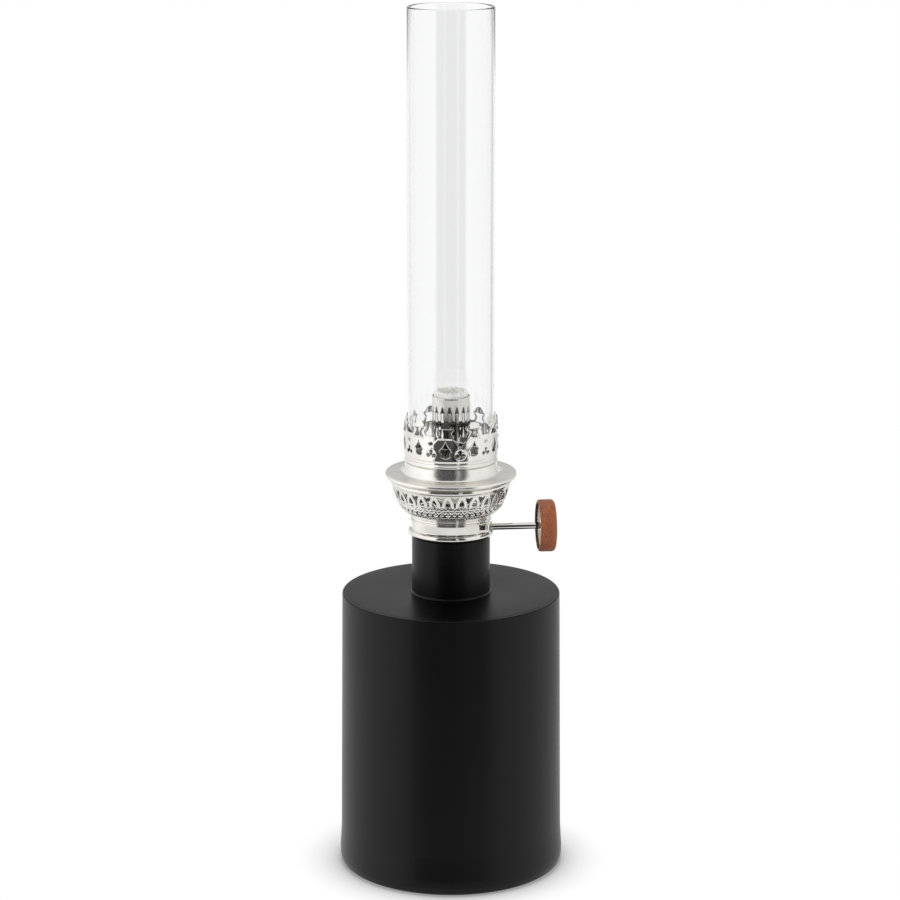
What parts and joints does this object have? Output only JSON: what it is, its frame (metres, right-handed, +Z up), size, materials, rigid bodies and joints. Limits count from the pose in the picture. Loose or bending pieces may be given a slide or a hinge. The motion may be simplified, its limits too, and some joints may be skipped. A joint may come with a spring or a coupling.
{
  "type": "oil lamp",
  "caption": "Table oil lamp: black cylindrical can reservoir with neck, nickel round-wick burner with pierced gallery, side wick winder with leather-covered knob, and a straight clear glass chimney.",
  "frame": {"origin": "centre of the base pad's underside, on the lamp's axis at table level", "axes": "+Z up the lamp's axis; +X along the winder spindle from the burner towards its knob; the spindle runs on the -Y side of the wick tube"},
  "size_m": [0.0926, 0.0926, 0.3552],
  "materials": {
    "black_lacquer": "satin black powder coat on steel",
    "plain_steel": "plain pressed steel",
    "base_felt": "dense black felt",
    "bare_brass": "unplated brass",
    "seal_rubber": "matte black rubber",
    "nickel_plate": "polished nickel plate on brass",
    "knob_leather": "fine-grained cognac leather",
    "wick_cotton": "woven white cotton",
    "chimney_glass": "clear drawn glass"
  },
  "bodies": {
    "reservoir": {"reservoir_body": "black_lacquer", "reservoir_neck": "black_lacquer", "base_plate": "plain_steel", "base_pad": "base_felt", "neck_collar": "bare_brass"},
    "burner_seal": {"burner_gasket": "seal_rubber"},
    "burner": {"burner_base": "nickel_plate", "air_basket": "nickel_plate", "burner_floor": "nickel_plate", "outer_wick_tube": "nickel_plate", "inner_draught_tube": "bare_brass", "air_chute": "bare_brass", "gland_block": "nickel_plate", "shaft_bracket": "bare_brass"},
    "winder": {"winder_shaft": "nickel_plate", "shaft_washer": "nickel_plate", "shaft_stop_ring": "bare_brass", "feed_wheel_1": "bare_brass", "feed_wheel_2": "bare_brass", "feed_wheel_3": "bare_brass", "feed_wheel_4": "bare_brass", "knob_cup": "nickel_plate", "knob_leather": "knob_leather"},
    "wick_body": {"wick": "wick_cotton"},
    "gallery": {"gallery_plate": "nickel_plate", "gallery_crown": "nickel_plate", "chimney_seat": "nickel_plate"},
    "chimney": {"glass_chimney": "chimney_glass"}
  },
  "joints": [
    {"name": "burner_rise", "type": "slide", "parent": "reservoir", "child": "burner_seal", "axis": [0, 0, 1], "range_m": [0, 0.0076]},
    {"name": "burner_unscrew", "type": "hinge", "parent": "burner_seal", "child": "burner", "pos_m": [0, 0, 0.1413], "axis": [0, 0, 1], "range_deg": [0, 1080]},
    {"name": "wick_winder", "type": "hinge", "parent": "burner", "child": "winder", "pos_m": [0, -0.009, 0.1453], "axis": [1, 0, 0], "range_deg": [-88, 176]},
    {"name": "wick_feed", "type": "slide", "parent": "burner", "child": "wick_body", "axis": [0, 0, 1], "range_m": [-0.004, 0.008]},
    {"name": "gallery_lift", "type": "slide", "parent": "burner", "child": "gallery", "axis": [0, 0, 1], "range_m": [0, 0.048]},
    {"name": "chimney_lift", "type": "slide", "parent": "gallery", "child": "chimney", "axis": [0, 0, 1], "range_m": [0, 0.03]}
  ],
  "couplings": [
    {"joint": "burner_rise", "follows": "burner_unscrew", "m_per_rad": 0.000398},
    {"joint": "wick_feed", "follows": "wick_winder", "m_per_rad": 0.0026}
  ]
}
